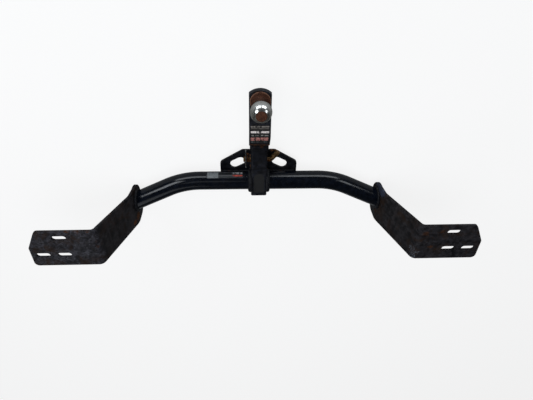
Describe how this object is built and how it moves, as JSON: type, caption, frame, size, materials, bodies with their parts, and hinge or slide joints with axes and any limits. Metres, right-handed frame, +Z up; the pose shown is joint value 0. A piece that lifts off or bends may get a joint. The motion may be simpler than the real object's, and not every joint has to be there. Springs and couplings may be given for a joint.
{
  "type": "trailer hitch receiver",
  "caption": "Bolt-on trailer hitch: bent round crossbar between two slotted end brackets, square receiver, safety chain plate, and a pinned ball mount with hitch ball.",
  "frame": {"origin": "on the top of the frame flanges, midway between their four inner slots", "axes": "+Z up, +Y the way the vehicle drives, +X to its right"},
  "size_m": [1.1094, 0.4058, 0.223],
  "materials": {
    "gloss_black_paint": "gloss black paint with fine scuffs",
    "satin_black_paint": "satin black paint, chipped along edges",
    "worn_black_paint": "worn satin black paint with faint rust",
    "painted_weld": "rippled weld bead under black paint",
    "rusty_weld": "rippled weld bead with brown rust",
    "pitted_chrome": "chrome with rust pits, rusty collar and flat",
    "zinc_steel": "dull zinc plate",
    "rusty_zinc": "yellow zinc plate turning to rust",
    "spring_steel": "bright spring wire",
    "label": "blank weathered sticker"
  },
  "bodies": {
    "hitch": {"crossbar_right": "gloss_black_paint", "crossbar_left": "gloss_black_paint", "receiver_tube": "satin_black_paint", "mouth_collar": "satin_black_paint", "safety_chain_plate": "satin_black_paint", "end_bracket_right": "worn_black_paint", "end_bracket_left": "worn_black_paint", "bracket_weld_right": "painted_weld", "bracket_weld_left": "painted_weld", "receiver_weld_right": "painted_weld", "receiver_weld_left": "painted_weld", "chain_plate_weld_right": "painted_weld", "chain_plate_weld_left": "painted_weld", "crossbar_weld": "painted_weld", "crossbar_label": "label"},
    "ball_mount": {"ball_mount_shank": "satin_black_paint", "ball_mount_tongue": "satin_black_paint", "tongue_weld": "rusty_weld", "hitch_ball": "pitted_chrome", "lock_washer": "zinc_steel", "ball_nut": "zinc_steel", "tongue_label": "label"},
    "pin": {"hitch_pin": "rusty_zinc", "pin_clip": "spring_steel"}
  },
  "joints": [
    {"name": "ball_mount_play", "type": "slide", "parent": "hitch", "child": "ball_mount", "axis": [0, -1, 0], "range_m": [-0.0007, 0.0007]},
    {"name": "pin_turn", "type": "hinge", "parent": "hitch", "child": "pin", "pos_m": [0, -0.128, -0.177], "axis": [-1, 0, 0], "range_deg": [-20, 50]}
  ]
}
